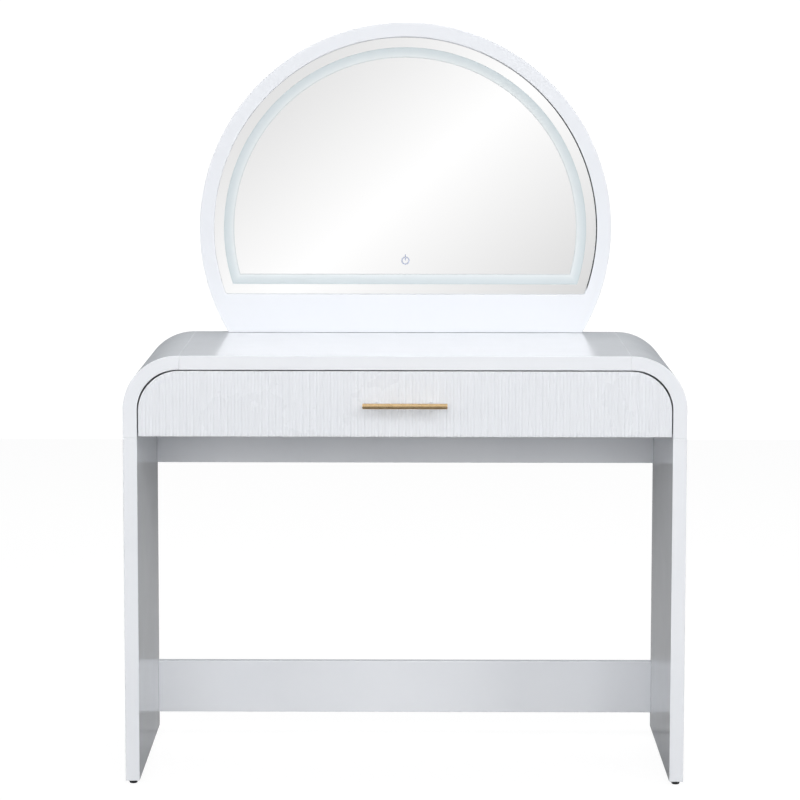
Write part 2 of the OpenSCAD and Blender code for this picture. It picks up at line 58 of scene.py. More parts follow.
def loft(rings, wear=None, loop=False):
    # closed rings of equally many points, joined one to the next; the first and last get a lid
    # unless the row of rings closes on itself
    rows, columns = rings.shape[:2]
    faces = gridFaces(rows, columns, loop)
    if not loop:
        faces += [list(range(columns))[::-1], list(range((rows - 1) * columns, rows * columns))]
    wear = np.zeros((rows, columns)) if wear is None else np.broadcast_to(wear, (rows, columns))
    return rings.reshape(-1, 3), faces, wear.reshape(-1)


def join(shapes):
    points, faces, wear, start = [], [], [], 0
    for p, f, w in shapes:
        points.append(p)
        wear.append(w)
        faces += [[i + start for i in face] for face in f]
        start += len(p)
    return np.concatenate(points), faces, np.concatenate(wear)


def mirrored(shape):
    return shape[0] * (-1, 1, 1), shape[1], shape[2]


def makePiece(name, shape, body, nodes, materials, faceMaterial=None, flat=False):
    points, faces, wear = shape
    mesh = bpy.data.meshes.new(name)
    mesh.from_pydata(points.tolist(), [], faces)
    centres, normals = np.zeros(len(faces) * 3), np.zeros(len(faces) * 3)
    areas = np.zeros(len(faces))
    mesh.polygons.foreach_get("center", centres)
    mesh.polygons.foreach_get("normal", normals)
    mesh.polygons.foreach_get("area", areas)
    if ((centres * normals).reshape(-1, 3).sum(1) * areas).sum() < 0:  # inside out
        mesh.flip_normals()
    mesh.polygons.foreach_set("use_smooth", np.full(len(faces), not flat))
    mesh.attributes.new("wear", "FLOAT", "POINT").data.foreach_set("value", wear.astype(np.float32))
    for material in materials:
        mesh.materials.append(material)
    if faceMaterial is not None:
        mesh.polygons.foreach_set("material_index", faceMaterial)
    piece = bpy.data.objects.new(name, mesh)
    bpy.context.scene.collection.objects.link(piece)
    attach(piece, body)
    if nodes:
        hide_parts(*nodes)
    return piece


bigBend = 0.02  # arcs above this radius get all the steps, and smaller ones smallSteps
smallSteps = 4


def outlineRing(corners, radii, inset, support, steps):
    # each corner of a polygon turns into an arc that touches both its sides, after the outline
    # has moved in by inset; one more point stands on each side of the arc, to keep flats flat
    here, radii = np.array(corners, float), np.array(radii)
    sides = np.roll(here, -1, 0) - here
    ways = sides / np.linalg.norm(sides, axis=1)[:, None]
    before = np.roll(ways, 1, 0)
    turns = np.arctan2(before[:, 0] * ways[:, 1] - before[:, 1] * ways[:, 0], (before * ways).sum(1))
    inward = np.sign(turns)[:, None] * before[:, ::-1] * (-1, 1)  # towards each arc's middle
    here = here + inset * (before + ways)[:, ::-1] * (-1, 1) / (1 + np.cos(turns))[:, None]
    bend = np.maximum(radii - np.sign(turns) * inset, 1e-5)
    reach = bend * np.tan(abs(turns) / 2)
    free = np.linalg.norm(np.roll(here, -1, 0) - here, axis=1) - reach - np.roll(reach, -1)
    gap = np.minimum(support, free / 3)[:, None]
    start = here - before * reach[:, None]
    points = []
    for i, turn in enumerate(abs(turns)):
        t = np.linspace(0, turn, (steps if radii[i] > bigBend else smallSteps) + 1)[:, None]
        arc = start[i] + bend[i] * (before[i] * np.sin(t) + inward[i] * (1 - np.cos(t)))
        points += [start[i:i + 1] - before[i] * gap[i - 1], arc, arc[-1:] + ways[i] * gap[i]]
    return np.concatenate(points)


def outlineWear(radii, steps):
    # 1 on the small arcs of outlineRing and 0 elsewhere
    rows = [np.zeros(steps + 3) if r > bigBend else np.r_[0, np.ones(smallSteps + 1), 0] for r in radii]
    return np.concatenate(rows)


def cutCircle(r, drop, corner, steps=150, baseSteps=30):
    # a circle of radius r cut flat at drop below its middle; both corners are arcs of radius
    # corner that touch the circle and the cut
    y = corner - drop
    x = math.sqrt((r - corner) ** 2 - y ** 2)
    low = math.atan2(y, x)
    small, big = np.linspace(-math.pi / 2, low, 7), np.linspace(low, math.pi - low, steps)[1:-1]
    base = np.linspace(-x, x, baseSteps)[1:-1]
    right = np.column_stack([x + corner * np.cos(small), y + corner * np.sin(small)])
    return np.concatenate([right, r * np.column_stack([np.cos(big), np.sin(big)]),
                           (right * (-1, 1))[::-1], np.column_stack([base, np.full_like(base, -drop)])])


def carryOutline(ring, low, high, axis, edge, support=0.0025, ringWear=0, steps=4):
    # an outline carried from low to high; over the first and last stretch it opens and closes
    # along a quarter circle: inset = edge (1 - sin t) at the height edge (1 - cos t)
    t = np.linspace(0, math.pi / 2, steps + 1)
    insets = np.r_[edge + support, edge * (1 - np.sin(t)), 0]
    heights = np.r_[0, edge * (1 - np.cos(t)), edge + support]
    worn = np.r_[0, np.ones(steps + 1), 0]
    insets, worn = np.r_[insets, insets[::-1]], np.r_[worn, worn[::-1]]
    heights = np.r_[low + heights, high - heights[::-1]]
    flat = [ring(inset) for inset in insets]
    rings = np.stack([np.column_stack([f, np.full(len(f), h)]) for f, h in zip(flat, heights)])
    return loft(rings[..., boxAxes[axis]], np.maximum(worn[:, None], ringWear))


def board(corners, radii, low, high, axis="y", edge=0.0007, steps=28, support=0.0025):
    return carryOutline(lambda inset: outlineRing(corners, radii, inset, support, steps),
                        low, high, axis, edge, support, outlineWear(radii, steps))


def plainBoard(low, high, axis="y", edge=0.0007, radii=None, **more):
    # a board that fills the box from low to high; radii start at its lowest corner
    way = "xyz".index(axis)
    (p0, q0), (p1, q1) = np.delete([low, high], way, 1)
    return board([(p0, q0), (p1, q0), (p1, q1), (p0, q1)], radii or [edge] * 4, low[way], high[way],
                 axis, edge, **more)


def circles(radii, sides):
    # circles about the origin: radius cos t and radius sin t, one row for each radius
    t = np.linspace(0, 2 * math.pi, sides, endpoint=False)
    return radii[:, None] * np.cos(t), radii[:, None] * np.sin(t)


def stacked(u, v, way, centre, axis):
    # rings u, v joined along an axis, each point at its own way
    rings = np.stack([u, v, np.broadcast_to(way, u.shape)], -1)
    return loft(rings[..., boxAxes[axis]] + np.array(centre))


def lathe(profile, centre, axis, sides=48):
    # (way, radius) pairs turned about an axis
    way, radius = np.array(profile, float).T
    return stacked(*circles(radius, sides), way[:, None], centre, axis)


def roundEnds(pairs, radius, steps=4):
    # a profile's corners cut by short arcs, of at most 0.45 of a side: each inner corner becomes
    # steps + 1 points
    pairs = np.array(pairs, float)
    out = [pairs[:1]]
    for before, here, after in zip(pairs, pairs[1:], pairs[2:]):
        a, b = before - here, after - here
        r = min(radius, np.linalg.norm(a) * 0.45, np.linalg.norm(b) * 0.45)
        start, end = here + a / np.linalg.norm(a) * r, here + b / np.linalg.norm(b) * r
        t = np.linspace(0, 1, steps + 1)[:, None]
        out.append((1 - t) ** 2 * start + 2 * t * (1 - t) * here + t ** 2 * end)
    return np.concatenate(out + [pairs[-1:]])


# screw heads: sizes are shares of the head's radius, and depths shares of its height
heads = dict(sides=48, crown=0.35, rim=0.25, under=0.97, slotHalf=0.17, slotWall=0.06, slotEnd=0.58,
             slotDepth=0.55, slotRun=0.9)


def crossHead(centre, axis, out, radius, height, shank, length):
    # a pan head: height (1 - crown (rho / radius)^2), less a cross of two slots that get shallower
    # towards their ends; centre is under the head, out is +1 or -1
    rho = np.r_[0.04, np.linspace(0.12, 0.86, 10), 0.95, 1.0] * radius
    u, v = circles(rho, heads["sides"])
    narrow, long = np.minimum(abs(u), abs(v)), np.maximum(abs(u), abs(v))
    inSlot = np.clip((heads["slotHalf"] * radius - narrow) / (heads["slotWall"] * radius), 0, 1)
    inSlot = inSlot * (long < heads["slotEnd"] * radius)
    dome = height * (1 - heads["crown"] * (rho / radius) ** 2)[:, None]
    top = dome - heads["slotDepth"] * height * inSlot * (1 - long / (heads["slotRun"] * radius))
    below = circles(np.array([radius, radius * heads["under"], shank, shank]), heads["sides"])
    down = np.array([heads["rim"] * height, 0, 0, -length])[:, None] + 0 * below[0]
    return stacked(np.r_[u, below[0]], np.r_[v, below[1]], np.r_[top, down] * out, centre, axis)


def solidsIn(node):
    # lowest and highest corner of each separate solid in a CAD node: triangles that share a
    # corner take the lowest number among them, until nothing changes
    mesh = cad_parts[node].data
    points = np.zeros(len(mesh.vertices) * 3)
    mesh.vertices.foreach_get("co", points)
    points = points.reshape(-1, 3)
    mesh.calc_loop_triangles()
    corners = np.zeros(len(mesh.loop_triangles) * 3, int)
    mesh.loop_triangles.foreach_get("vertices", corners)
    same = np.unique(np.round(points, 6), axis=0, return_inverse=True)[1].reshape(-1)
    corners = same[corners].reshape(-1, 3)
    label = np.arange(same.max() + 1)
    while True:
        least = label.copy()
        np.minimum.at(least, corners.reshape(-1), np.repeat(label[corners].min(1), 3))
        if (least == label).all():
            break
        label = least
    owner = label[same]
    return [(points[owner == k].min(0), points[owner == k].max(0)) for k in np.unique(owner)]


def box(node):
    return [np.array(corner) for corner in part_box(node)]


def fill(tree, sockets, values):
    # a value that is a socket is linked, and any other is set
    for key, value in values.items():
        if isinstance(value, bpy.types.NodeSocket):
            tree.links.new(value, sockets[key])
        else:
            sockets[key].default_value = value


def add(tree, kind, inputs=None, **settings):
    node = tree.nodes.new("ShaderNode" + kind)
    for key, value in settings.items():
        setattr(node, key, value)
    fill(tree, node.inputs, inputs or {})
    return node


def maths(tree, operation, *values):
    return add(tree, "Math", dict(enumerate(values)), operation=operation).outputs[0]


def spread(tree, value, fromLow, fromHigh, toLow=0.0, toHigh=1.0):
    # one range of a value drawn out to another, and held at its ends
    return add(tree, "MapRange", {"Value": value, "From Min": fromLow, "From Max": fromHigh,
                                  "To Min": toLow, "To Max": toHigh}).outputs[0]


def noise(tree, point, scale, detail, rough=0.5):
    return add(tree, "TexNoise", {"Vector": point, "Scale": scale, "Detail": detail,
                                  "Roughness": rough}).outputs["Fac"]


def mixed(tree, factor, first, second):
    node = add(tree, "Mix", {"Factor": factor, "A": first, "B": second}, data_type="RGBA")
    return node.outputs["Result"]


def scaled(tree, colour, by):
    return add(tree, "VectorMath", {0: colour, "Scale": by}, operation="SCALE").outputs[0]


def bumped(tree, height, distance, eased=False):
    # relief of a height; eased also rounds off the edges of the mesh
    inputs = {"Height": height, "Distance": distance}
    if eased:
        inputs["Normal"] = add(tree, "Bevel", {"Radius": 0.0004}, samples=4).outputs[0]
    return add(tree, "Bump", inputs).outputs[0]


def objectPoint(tree):
    return add(tree, "TexCoord").outputs["Object"]


def newGroup(name, inputs):
    # a node group with the given inputs and a colour, a roughness and a normal to give
    tree = bpy.data.node_groups.new(name, "ShaderNodeTree")
    for label, value in inputs.items():
        kind = "NodeSocketColor" if isinstance(value, tuple) else "NodeSocketFloat"
        socket = tree.interface.new_socket(label, in_out="INPUT", socket_type=kind)
        socket.default_value = value
    for label, kind in (("Color", "Color"), ("Roughness", "Float"), ("Normal", "Vector")):
        tree.interface.new_socket(label, in_out="OUTPUT", socket_type="NodeSocket" + kind)
    return tree, tree.nodes.new("NodeGroupInput").outputs, tree.nodes.new("NodeGroupOutput").inputs


def makeLacquerGroup():
    # sprayed lacquer: long soft waves and fine orange peel in the height, cloudy gloss, a colour
    # that drifts a little, edges rubbed paler, and dust on what faces up
    tree, given, out = newGroup("sprayedLacquer", {
        "Color": (0.8, 0.8, 0.8, 1), "Rubbed": (1, 1, 1, 1), "Gloss": 0.2, "Peel": 0.00001, "Rub": 0.5,
        "Dust": 0.1})
    point = objectPoint(tree)
    peel = noise(tree, point, 420.0, 3.0)
    waves = noise(tree, point, 26.0, 2.0)
    clouds = noise(tree, point, 7.0, 5.0, 0.6)
    grains = noise(tree, point, 190.0, 6.0, 0.7)
    height = maths(tree, "MULTIPLY_ADD", waves, 2.0, peel)
    wear = add(tree, "Attribute", attribute_name="wear").outputs["Fac"]
    rubbed = maths(tree, "MULTIPLY", wear, spread(tree, clouds, 0.35, 0.65))
    rubbed = maths(tree, "MULTIPLY", rubbed, given["Rub"])
    facing = add(tree, "SeparateXYZ", {0: add(tree, "NewGeometry").outputs["Normal"]}).outputs["Z"]
    dust = maths(tree, "MULTIPLY", spread(tree, facing, 0.6, 1.0), spread(tree, grains, 0.5, 0.72))
    dust = maths(tree, "MULTIPLY", dust, given["Dust"])
    tone = scaled(tree, given["Color"], spread(tree, clouds, 0.0, 1.0, 0.99, 1.008))
    tone = mixed(tree, rubbed, tone, given["Rubbed"])
    tone = mixed(tree, dust, tone, (0.62, 0.61, 0.59, 1))
    rough = maths(tree, "MULTIPLY_ADD", clouds, 0.06, given["Gloss"])
    rough = maths(tree, "MULTIPLY_ADD", rubbed, 0.15, rough)
    rough = maths(tree, "MULTIPLY_ADD", dust, 0.5, rough)
    fill(tree, out, {"Color": tone, "Roughness": rough, "Normal": bumped(tree, height, given["Peel"])})
    return tree


def makeBrushGroup():
    # brushed metal: noise drawn out along the brushing, as scratches in height, tone and gloss;
    # X, Y and Z are how often it changes along each axis, per metre
    tree, given, out = newGroup("brushedMetal", {
        "Color": (0.7, 0.7, 0.7, 1), "Gloss": 0.25, "Depth": 0.00001, "X": 20.0, "Y": 900.0, "Z": 900.0,
        "Contrast": 0.1})
    point = objectPoint(tree)
    often = add(tree, "CombineXYZ", {axis: given[axis] for axis in "XYZ"}).outputs[0]
    drawn = add(tree, "VectorMath", {0: point, 1: often}, operation="MULTIPLY").outputs[0]
    fine = noise(tree, drawn, 1.0, 4.0, 0.65)
    stains = noise(tree, point, 35.0, 3.0)
    less = maths(tree, "ADD", fine, -0.5)
    tone = maths(tree, "MULTIPLY_ADD", less, given["Contrast"], 1.0)
    rough = maths(tree, "MULTIPLY_ADD", stains, 0.1, given["Gloss"])
    rough = maths(tree, "MULTIPLY_ADD", less, 0.3, rough)
    fill(tree, out, {"Color": scaled(tree, given["Color"], tone), "Roughness": rough,
                     "Normal": bumped(tree, fine, given["Depth"], True)})
    return tree


def makeGrainGroup():
    # moulded or cast skin: a grain of cells broken by noise, softened edges and a mottled colour
    tree, given, out = newGroup("castGrain", {
        "Color": (0.5, 0.5, 0.5, 1), "Light": (0.6, 0.6, 0.6, 1), "Gloss": 0.5, "Depth": 0.00003,
        "Scale": 900.0})
    point = objectPoint(tree)
    cells = add(tree, "TexVoronoi", {"Vector": point, "Scale": given["Scale"]}).outputs["Distance"]
    height = maths(tree, "MULTIPLY", cells, noise(tree, point, given["Scale"], 5.0))
    patches = noise(tree, point, 60.0, 4.0)
    tone = mixed(tree, spread(tree, patches, 0.4, 0.7), given["Color"], given["Light"])
    rough = maths(tree, "MULTIPLY_ADD", patches, 0.15, given["Gloss"])
    fill(tree, out, {"Color": tone, "Roughness": rough,
                     "Normal": bumped(tree, height, given["Depth"], True)})
    return tree


lacquerGroup, brushGroup, grainGroup = makeLacquerGroup(), makeBrushGroup(), makeGrainGroup()


def newMaterial(name, metallic=0.0, rough=0.5):
    material = bpy.data.materials.new(name)
    material.use_nodes = True
    tree = material.node_tree
    surface = tree.nodes["Principled BSDF"].inputs
    fill(tree, surface, {"Metallic": metallic, "Roughness": rough})
    return material, tree, surface


def groupMaterial(name, group, metallic=0.0, **inputs):
    material, tree, surface = newMaterial(name, metallic)
    node = tree.nodes.new("ShaderNodeGroup")
    node.node_tree = group
    fill(tree, node.inputs, inputs)
    made = node.outputs
    fill(tree, surface, {"Base Color": made["Color"], "Roughness": made["Roughness"],
                         "Normal": made["Normal"]})
    return material


lacquer = dict(Color=(0.795, 0.812, 0.845, 1), Rubbed=(0.86, 0.87, 0.89, 1), Gloss=0.13, Peel=0.000006,
               Rub=0.35, Dust=0.05)


def makeLacquer(name, **changes):
    return groupMaterial(name, lacquerGroup, **dict(lacquer, **changes))


def makeBrushed(name, color, gloss, along, depth=0.000004, contrast=0.12):
    often = {axis: (25.0 if axis == along else 1100.0) for axis in "XYZ"}
    return groupMaterial(name, brushGroup, 1.0, Color=color, Gloss=gloss, Depth=depth,
                         Contrast=contrast, **often)


def makeGrain(name, color, light, gloss, depth=0.00003, scale=900.0, metallic=0.0):
    return groupMaterial(name, grainGroup, metallic, Color=color, Light=light, Gloss=gloss,
                         Depth=depth, Scale=scale)


beechLook = dict(dark=(0.62, 0.42, 0.24, 1), pale=(0.78, 0.60, 0.40, 1), often=(90.0, 300.0, 90.0))


def makeBeech():
    # pale wood: rings stretched along the grain
    material, tree, surface = newMaterial("beech", rough=0.6)
    stretched = add(tree, "Mapping", {"Vector": objectPoint(tree), "Scale": beechLook["often"]})
    rings = noise(tree, stretched.outputs[0], 1.0, 6.0)
    fill(tree, surface, {"Base Color": mixed(tree, rings, beechLook["dark"], beechLook["pale"]),
                         "Normal": bumped(tree, rings, 0.0001)})
    return material


mirrorLook = dict(silver=(0.975, 0.973, 0.973), haze=0.02)


def makeSilver():
    # silvered glass: clean, with a breath of haze that shows only in the gloss
    material, tree, surface = newMaterial("silveredGlass", 1.0)
    haze = noise(tree, objectPoint(tree), 4.0, 6.0)
    tone = spread(tree, haze, 0.0, 1.0, 0.99, 1.0)
    fill(tree, surface, {"Base Color": scaled(tree, mirrorLook["silver"], tone),
                         "Roughness": spread(tree, haze, 0.5, 0.9, 0.0, mirrorLook["haze"])})
    return material


# the band's colours, from its outer edge to its inner one: painted shade darkens the outer edge and the
# colour lightens inwards; the last stop is a darker line at the inner edge
bandShadeLook = [(0.0, (0.46, 0.52, 0.54, 1)), (0.15, (0.56, 0.62, 0.64, 1)), (0.5, (0.61, 0.66, 0.68, 1)),
            (0.9, (0.70, 0.74, 0.75, 1)), (1.0, (0.57, 0.60, 0.61, 1))]


def makeFrostedWithShade():
    # the etched band: a run of colours across it that paints shade, darker at its outer edge and lighter
    # inwards, over a fine sandblasted grain
    material, tree, surface = newMaterial("etchedBandWithShade", rough=0.45)
    across = add(tree, "Attribute", attribute_name="across").outputs["Fac"]
    grain = noise(tree, objectPoint(tree), 900.0, 4.0)
    ramp = add(tree, "ValToRGB", {"Fac": maths(tree, "MULTIPLY_ADD", grain, 0.08, across)})
    stops = ramp.color_ramp.elements
    for place, colour in bandShadeLook[1:-1]:
        stops.new(place).color = colour
    stops[0].color, stops[-1].color = bandShadeLook[0][1], bandShadeLook[-1][1]
    fill(tree, surface, {"Base Color": ramp.outputs[0], "Normal": bumped(tree, grain, 0.00001)})
    return material


# the bead's white is its own colour; its dark is painted shade for the shadow in the open gap on the
# right
beadShadeLook = dict(white=(0.80, 0.82, 0.86, 1), dark=(0.03, 0.034, 0.038, 1), across=(0.12, 0.30),
                above=(0.854, 0.866))


def makeSealantWithShade():
    # the bead beside the glass: white, with painted shade towards the right above its lowest stretch,
    # where the gap is wide: a dark colour stands in for the shadow in the open gap
    material, tree, surface = newMaterial("sealantWithShade", rough=0.55)
    point = objectPoint(tree)
    lumps = noise(tree, point, 160.0, 4.0)
    place = add(tree, "SeparateXYZ", {0: point}).outputs
    across = spread(tree, maths(tree, "MULTIPLY_ADD", lumps, 0.02, place["X"]), *beadShadeLook["across"])
    # painted shade: dark where x lies towards the right and z above the lowest stretch of the glass
    gapShade = maths(tree, "MULTIPLY", across, spread(tree, place["Z"], *beadShadeLook["above"]))
    fill(tree, surface, {"Base Color": mixed(tree, gapShade, beadShadeLook["white"], beadShadeLook["dark"]),
                         "Normal": bumped(tree, lumps, 0.0001)})
    return material


lacquerBoard = makeLacquer("lacquerBoard")
# painted shade: the frame's white is a darker copy of the board's lacquer, to take down the light the
# frame gets
lacquerFrameShaded = makeLacquer("lacquerFrameShaded", Gloss=0.2, Peel=0.000001, Color=(0.753, 0.77, 0.805, 1))
lacquerFront = makeLacquer("lacquerFront", Gloss=0.25, Peel=0.0000006, Color=(0.765, 0.782, 0.815, 1))
lacquerInside = makeLacquer("lacquerInside", Gloss=0.3, Dust=0.15)
gold = makeBrushed("brushedGold", (0.80, 0.57, 0.31, 1), 0.22, "X")
nickel = makeBrushed("satinNickel", (0.72, 0.73, 0.74, 1), 0.3, "Y")
railSteel = makeBrushed("rolledSteel", (0.66, 0.67, 0.69, 1), 0.28, "Y")
plateSteel = makeBrushed("platedSteel", (0.62, 0.63, 0.65, 1), 0.32, "Z")
ballSteel = makeBrushed("ballSteel", (0.58, 0.59, 0.61, 1), 0.15, "Y", contrast=0.05)
screwZinc = makeGrain("zincPlating", (0.60, 0.61, 0.62, 1), (0.70, 0.70, 0.68, 1), 0.25, 0.000005,
                      2500.0, 1.0)
castZinc = makeGrain("castZinc", (0.45, 0.46, 0.47, 1), (0.55, 0.56, 0.57, 1), 0.45, 0.00002, 1600.0,
                     1.0)
blackPlastic = makeGrain("blackPlastic", (0.018, 0.018, 0.02, 1), (0.03, 0.03, 0.032, 1), 0.4)
whitePlastic = makeGrain("whitePlastic", (0.76, 0.77, 0.79, 1), (0.80, 0.81, 0.82, 1), 0.3, 0.00001,
                         1500.0)
foam = makeGrain("blackFoam", (0.02, 0.02, 0.02, 1), (0.045, 0.045, 0.045, 1), 0.75, 0.0002, 700.0)
acrylic = makeGrain("frostedAcrylic", (0.78, 0.82, 0.82, 1), (0.83, 0.86, 0.86, 1), 0.4, 0.00001,
                    1200.0)
ledTape = makeGrain("ledTape", (0.80, 0.78, 0.70, 1), (0.86, 0.84, 0.78, 1), 0.4, 0.00001, 800.0)
ledLens = makeGrain("ledLens", (0.85, 0.70, 0.20, 1), (0.92, 0.80, 0.35, 1), 0.12, 0.00001, 400.0)
solderMask = makeGrain("solderMask", (0.02, 0.14, 0.06, 1), (0.03, 0.20, 0.09, 1), 0.2, 0.00002, 500.0)
redWire = makeGrain("redInsulation", (0.50, 0.03, 0.02, 1), (0.58, 0.05, 0.04, 1), 0.3, 0.00001,
                    1200.0)
greyBoard = makeGrain("greyBoard", (0.24, 0.24, 0.25, 1), (0.30, 0.30, 0.31, 1), 0.55, 0.00008, 500.0)
symbolInk = makeGrain("etchedSymbol", (0.42, 0.45, 0.56, 1), (0.46, 0.49, 0.60, 1), 0.5, 0.000005,
                      2000.0)
beech, silvered, frostedWithShade, sealantWithShade = makeBeech(), makeSilver(), makeFrostedWithShade(), makeSealantWithShade()
print("materials made:", len(bpy.data.materials))

# CAD nodes that are shown as they are, by the finish they take
keptNodes = {
    "corner_dowels": beech, "top_dowels": beech, "cam_locks": castZinc, "cam_bolts": screwZinc,
    "foot_nails": screwZinc, "drawer_cam_bolts": screwZinc, "glass_tape": foam,
    "light_diffuser": acrylic, "led_strip": ledTape, "led_chips": ledLens, "touch_sensor": solderMask,
    "power_module": blackPlastic, "mirror_wires": redWire, "dc_inlet": blackPlastic,
}
for side in ("left", "right"):
    keptNodes[side + "_outer_ball_cage"] = ballSteel
    keptNodes[side + "_inner_ball_cage"] = ballSteel
for name, material in keptNodes.items():
    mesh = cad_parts[name].data
    mesh.materials.clear()
    mesh.materials.append(material)


# the table's boards
sideLow, sideHigh = box("right_side_panel")
cornerLow, cornerHigh = box("right_corner_panel")
innerX, halfWidth, frontY, backY = sideLow[0], sideHigh[0], sideLow[1], sideHigh[1]
seamZ, tableTop, bendX = sideHigh[2], cornerHigh[2], cornerLow[0]
underTop = tableTop - (halfWidth - innerX)
boards = dict(edge=0.0008, bendSteps=36, ease=3.4)  # ease is in edges


def tableBoard(name, shape, node):
    makePiece(name, shape, "table", [node], [lacquerBoard])


def makeBoards():
    edge = boards["edge"]
    side = plainBoard(sideLow, sideHigh, edge=edge)
    outer, inner = halfWidth - bendX, innerX - bendX
    ease = boards["ease"] * edge  # leaves room to round the end of the bend
    corner = board([(innerX, seamZ), (halfWidth, seamZ), (halfWidth, tableTop), (bendX, tableTop),
                    (bendX, underTop), (innerX, underTop)],
                   [edge, edge, outer - ease, edge, edge, inner - ease],
                   frontY, backY, edge=edge, steps=boards["bendSteps"], support=2 * edge)
    for name, shape in (("side_panel", side), ("corner_panel", corner)):
        for hand in ("left", "right"):
            made = mirrored(shape) if hand == "left" else shape
            tableBoard(f"{hand}_{name}_board", made, f"{hand}_{name}")
    tableBoard("top_board", plainBoard(*box("top_panel"), edge=edge), "top_panel")
    tableBoard("stretcher_board", plainBoard(*box("lower_stretcher"), edge=edge), "lower_stretcher")
    low, high = box("back_panel")
    bend = inner - (innerX - high[0])
    tableBoard("back_board", plainBoard(low, high, edge=edge, radii=[edge, edge, bend, bend],
                                        steps=boards["bendSteps"]), "back_panel")


caps = dict(proud=0.0007, lip=0.0006, sunk=0.0005, crown=0.55, sides=32)


def makeCaps():
    # cover caps: low domes over the cams, each standing a little proud of its board:
    # way = proud sin t, radius = r (crown + (1 - crown) cos t)
    crown, t = caps["crown"], np.linspace(0, math.pi / 2, 6)
    shapes = []
    for low, high in solidsIn("cam_caps"):
        size, middle = high - low, (low + high) / 2
        way = int(np.argmin(size))
        out = {0: -np.sign(middle[0]), 1: 1.0, 2: -1.0}[way]
        radius = size[(way + 1) % 3] / 2 + caps["lip"]
        face = high[way] if out > 0 else low[way]
        wide = radius * (crown + (1 - crown) * np.cos(t))
        dome = np.column_stack([out * caps["proud"] * np.sin(t), wide])
        profile = np.r_[[(-caps["sunk"] * out, radius)], dome]
        centre = np.where(np.arange(3) == way, face, middle)
        shapes.append(lathe(profile, centre, "xyz"[way], caps["sides"]))
    makePiece("cover_caps", join(shapes), "table", ["cam_caps"], [whitePlastic])


glide = dict(ends=0.004, foot=0.0006, wide=(0.55, 0.62), narrow=0.66, shoulder=0.001, round=0.0012)


def makeFeet():
    # glides: a pad with a rounded foot rim and a small shoulder where it meets the board
    ends, shoulder = glide["ends"], glide["shoulder"]
    for end in ("front", "back"):
        for hand in ("left", "right"):
            name = f"{end}_{hand}_foot"
            low, high = box(name)
            radius, height = (high[0] - low[0]) / 2, high[2] - low[2]
            wide = [(height * share, radius) for share in glide["wide"]]
            profile = roundEnds([(0, ends), (0, radius - glide["foot"]), *wide,
                                 (height * glide["narrow"], radius - shoulder),
                                 (height, radius - shoulder), (height, ends)], glide["round"])
            centre = [(low[0] + high[0]) / 2, (low[1] + high[1]) / 2, low[2]]
            makePiece(f"{end}_{hand}_glide", lathe(profile, centre, "z"), "table",
                      [name], [blackPlastic])


makeBoards()
makeCaps()
makeFeet()
print("table boards made")


drawer = dict(edge=0.0008, edgeSteps=5, flat=0.004, reedDepth=0.0015, reedDip=0.0006, reedWidth=0.0121,
              reedSteps=16, archSteps=22, grow=0.0004)
frontLow, frontHigh = box("drawer_front")
drawerSideX = box("right_drawer_side")[1][0]


def makeDrawerFront():
    # across, with t from -1 to 1 over one reed: y = depth t^4 + dip (1 - (3 t)^2)^2, where the dip
    # holds for |t| < 1/3 only; up: from the bottom to the arch, which bends down in its corners as
    # z = top - bend + sqrt(bend^2 - over^2), with over = |x| - (half - bend)
    half, bottom, top = frontHigh[0] + drawer["grow"], frontLow[2], frontHigh[2] + drawer["grow"]
    bend = half - bendX
    count = round(2 * half / drawer["reedWidth"])
    width = 2 * half / count
    t = np.linspace(-1, 1, drawer["reedSteps"] + 1)[:-1]
    x = ((np.arange(count)[:, None] + (t + 1) / 2) * width - half).reshape(-1)
    turn = np.linspace(math.pi / 2, math.pi / 4, drawer["archSteps"])
    arch = half - bend * (1 - np.sin(turn))
    x = np.unique(np.round(np.concatenate([x, arch, -arch]), 6))
    t = 2 * (((x + half) / width) % 1) - 1
    over = np.maximum(abs(x) - (half - bend), 0)
    archZ = top - bend + np.sqrt(np.maximum(bend ** 2 - over ** 2, 0))
    dip = drawer["reedDip"] * np.maximum(1 - (3 * t) ** 2, 0) ** 2
    face = frontLow[1] + drawer["reedDepth"] * t ** 4 + dip
    # one closed section at each x: the lower edge by its distance from the face and from the
    # bottom, the back, and the upper edge by its distance from the face and from the arch
    edge, steps, flat = drawer["edge"], drawer["edgeSteps"], drawer["flat"]
    a = np.linspace(0, math.pi / 2, steps)
    inward = np.r_[0, edge * (1 - np.cos(a)), flat]
    upward = np.r_[flat, edge * (1 - np.sin(a)), 0]
    front, back = face[:, None] + inward, np.full((len(x), 2), frontHigh[1])
    y = np.concatenate([front, back, front[:, ::-1]], 1)
    z = np.concatenate([np.broadcast_to(bottom + upward, front.shape), np.full((len(x), 1), bottom),
                        archZ[:, None], archZ[:, None] - upward[::-1]], 1)
    rings = np.stack([np.broadcast_to(x[:, None], y.shape), y, z], -1)
    worn = np.r_[0, np.ones(steps), 0, 0, 0, 0, np.ones(steps), 0]
    makePiece("reeded_front", loft(rings, worn[None]), "drawer", ["drawer_front"],
              [lacquerFront])


drawerBox = dict(edge=0.0006, play=0.0001)


def makeDrawerBox():
    for node, axis in (("left_drawer_side", "x"), ("right_drawer_side", "x"), ("drawer_back", "y"),
                       ("drawer_bottom", "z")):
        low, high = box(node)
        if node == "drawer_back":
            low[0], high[0] = low[0] + drawerBox["play"], high[0] - drawerBox["play"]
        makePiece(node + "_board", plainBoard(low, high, axis, drawerBox["edge"]), "drawer",
                  [node], [lacquerInside])


cams = dict(radius=0.0059, proud=0.0002, slot=0.0008, slotDepth=0.001, slotRun=0.85, thick=0.002,
            sides=48)


